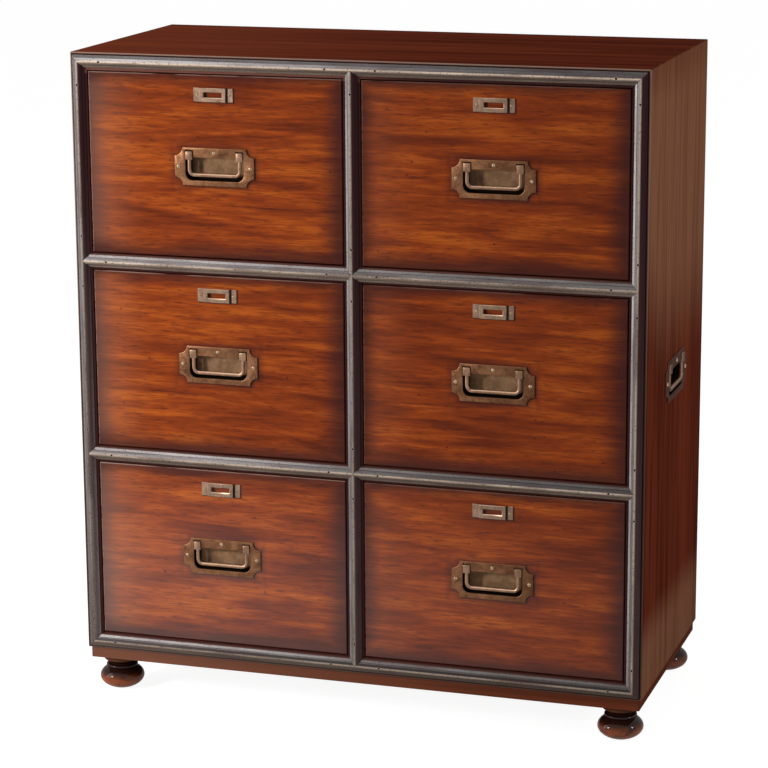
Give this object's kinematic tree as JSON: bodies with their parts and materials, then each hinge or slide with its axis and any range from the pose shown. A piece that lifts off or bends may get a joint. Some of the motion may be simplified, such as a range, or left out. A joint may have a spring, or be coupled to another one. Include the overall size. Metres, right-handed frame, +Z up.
{
  "type": "campaign chest",
  "caption": "Mahogany campaign chest of deep drawers with flush bail pulls, label frames, metal edge moulding, side lifting handles and bun feet.",
  "frame": {"origin": "middle of the footprint, on the floor", "axes": "+Z up, -Y out of the drawer fronts, +X to the right as seen from the front"},
  "size_m": [1.0096, 0.4694, 1.137],
  "materials": {
    "case_mahogany": "satin dark red-brown mahogany",
    "drawer_front_mahogany": "satin orange-brown mahogany, figured across, edges burnished dark",
    "inside_wood": "plain matt secondary wood",
    "foot_mahogany": "gloss dark mahogany, turned",
    "trim_metal": "gunmetal patina with a worn pale ridge",
    "aged_brass": "antique brass, brushed and darkened"
  },
  "bodies": {
    "carcass": {"top_panel": "case_mahogany", "left_side_panel": "case_mahogany", "right_side_panel": "case_mahogany", "bottom_panel": "case_mahogany", "back_panel": "inside_wood", "centre_partition": "case_mahogany", "lower_dust_board": "case_mahogany", "upper_dust_board": "case_mahogany", "plinth_front_rail": "case_mahogany", "plinth_right_rail": "case_mahogany", "plinth_back_rail": "case_mahogany", "plinth_left_rail": "case_mahogany", "foot_front_left": "foot_mahogany", "foot_front_right": "foot_mahogany", "foot_back_left": "foot_mahogany", "foot_back_right": "foot_mahogany", "trim_top": "trim_metal", "trim_bottom": "trim_metal", "trim_left": "trim_metal", "trim_right": "trim_metal", "trim_centre": "trim_metal", "trim_lower_left": "trim_metal", "trim_lower_right": "trim_metal", "trim_upper_left": "trim_metal", "trim_upper_right": "trim_metal", "handle_plate_left": "aged_brass", "handle_plate_right": "aged_brass"},
    "drawer_bottom_left": {"drawer_front_bottom_left": "drawer_front_mahogany", "drawer_box_bottom_left": "inside_wood", "pull_plate_bottom_left": "aged_brass", "label_frame_bottom_left": "aged_brass"},
    "bail_bottom_left": {"pull_bail_bottom_left": "aged_brass"},
    "drawer_bottom_right": {"drawer_front_bottom_right": "drawer_front_mahogany", "drawer_box_bottom_right": "inside_wood", "pull_plate_bottom_right": "aged_brass", "label_frame_bottom_right": "aged_brass"},
    "bail_bottom_right": {"pull_bail_bottom_right": "aged_brass"},
    "drawer_middle_left": {"drawer_front_middle_left": "drawer_front_mahogany", "drawer_box_middle_left": "inside_wood", "pull_plate_middle_left": "aged_brass", "label_frame_middle_left": "aged_brass"},
    "bail_middle_left": {"pull_bail_middle_left": "aged_brass"},
    "drawer_middle_right": {"drawer_front_middle_right": "drawer_front_mahogany", "drawer_box_middle_right": "inside_wood", "pull_plate_middle_right": "aged_brass", "label_frame_middle_right": "aged_brass"},
    "bail_middle_right": {"pull_bail_middle_right": "aged_brass"},
    "drawer_top_left": {"drawer_front_top_left": "drawer_front_mahogany", "drawer_box_top_left": "inside_wood", "pull_plate_top_left": "aged_brass", "label_frame_top_left": "aged_brass"},
    "bail_top_left": {"pull_bail_top_left": "aged_brass"},
    "drawer_top_right": {"drawer_front_top_right": "drawer_front_mahogany", "drawer_box_top_right": "inside_wood", "pull_plate_top_right": "aged_brass", "label_frame_top_right": "aged_brass"},
    "bail_top_right": {"pull_bail_top_right": "aged_brass"},
    "lift_bail_left": {"handle_bail_left": "aged_brass"},
    "lift_bail_right": {"handle_bail_right": "aged_brass"}
  },
  "joints": [
    {"name": "drawer_slide_bottom_left", "type": "slide", "parent": "carcass", "child": "drawer_bottom_left", "axis": [0, -1, 0], "range_m": [0, 0.32]},
    {"name": "bail_hinge_bottom_left", "type": "hinge", "parent": "drawer_bottom_left", "child": "bail_bottom_left", "pos_m": [-0.2425, -0.22515, 0.28698], "axis": [-1, 0, 0], "range_deg": [0, 90]},
    {"name": "drawer_slide_bottom_right", "type": "slide", "parent": "carcass", "child": "drawer_bottom_right", "axis": [0, -1, 0], "range_m": [0, 0.32]},
    {"name": "bail_hinge_bottom_right", "type": "hinge", "parent": "drawer_bottom_right", "child": "bail_bottom_right", "pos_m": [0.2425, -0.22515, 0.28698], "axis": [-1, 0, 0], "range_deg": [0, 90]},
    {"name": "drawer_slide_middle_left", "type": "slide", "parent": "carcass", "child": "drawer_middle_left", "axis": [0, -1, 0], "range_m": [0, 0.32]},
    {"name": "bail_hinge_middle_left", "type": "hinge", "parent": "drawer_middle_left", "child": "bail_middle_left", "pos_m": [-0.2425, -0.22515, 0.62798], "axis": [-1, 0, 0], "range_deg": [0, 90]},
    {"name": "drawer_slide_middle_right", "type": "slide", "parent": "carcass", "child": "drawer_middle_right", "axis": [0, -1, 0], "range_m": [0, 0.32]},
    {"name": "bail_hinge_middle_right", "type": "hinge", "parent": "drawer_middle_right", "child": "bail_middle_right", "pos_m": [0.2425, -0.22515, 0.62798], "axis": [-1, 0, 0], "range_deg": [0, 90]},
    {"name": "drawer_slide_top_left", "type": "slide", "parent": "carcass", "child": "drawer_top_left", "axis": [0, -1, 0], "range_m": [0, 0.32]},
    {"name": "bail_hinge_top_left", "type": "hinge", "parent": "drawer_top_left", "child": "bail_top_left", "pos_m": [-0.2425, -0.22515, 0.96898], "axis": [-1, 0, 0], "range_deg": [0, 90]},
    {"name": "drawer_slide_top_right", "type": "slide", "parent": "carcass", "child": "drawer_top_right", "axis": [0, -1, 0], "range_m": [0, 0.32]},
    {"name": "bail_hinge_top_right", "type": "hinge", "parent": "drawer_top_right", "child": "bail_top_right", "pos_m": [0.2425, -0.22515, 0.96898], "axis": [-1, 0, 0], "range_deg": [0, 90]},
    {"name": "lift_hinge_left", "type": "hinge", "parent": "carcass", "child": "lift_bail_left", "pos_m": [-0.49973, 0.00465, 0.61088], "axis": [0, 1, 0], "range_deg": [0, 90]},
    {"name": "lift_hinge_right", "type": "hinge", "parent": "carcass", "child": "lift_bail_right", "pos_m": [0.49973, 0.00465, 0.61088], "axis": [0, -1, 0], "range_deg": [0, 90]}
  ]
}
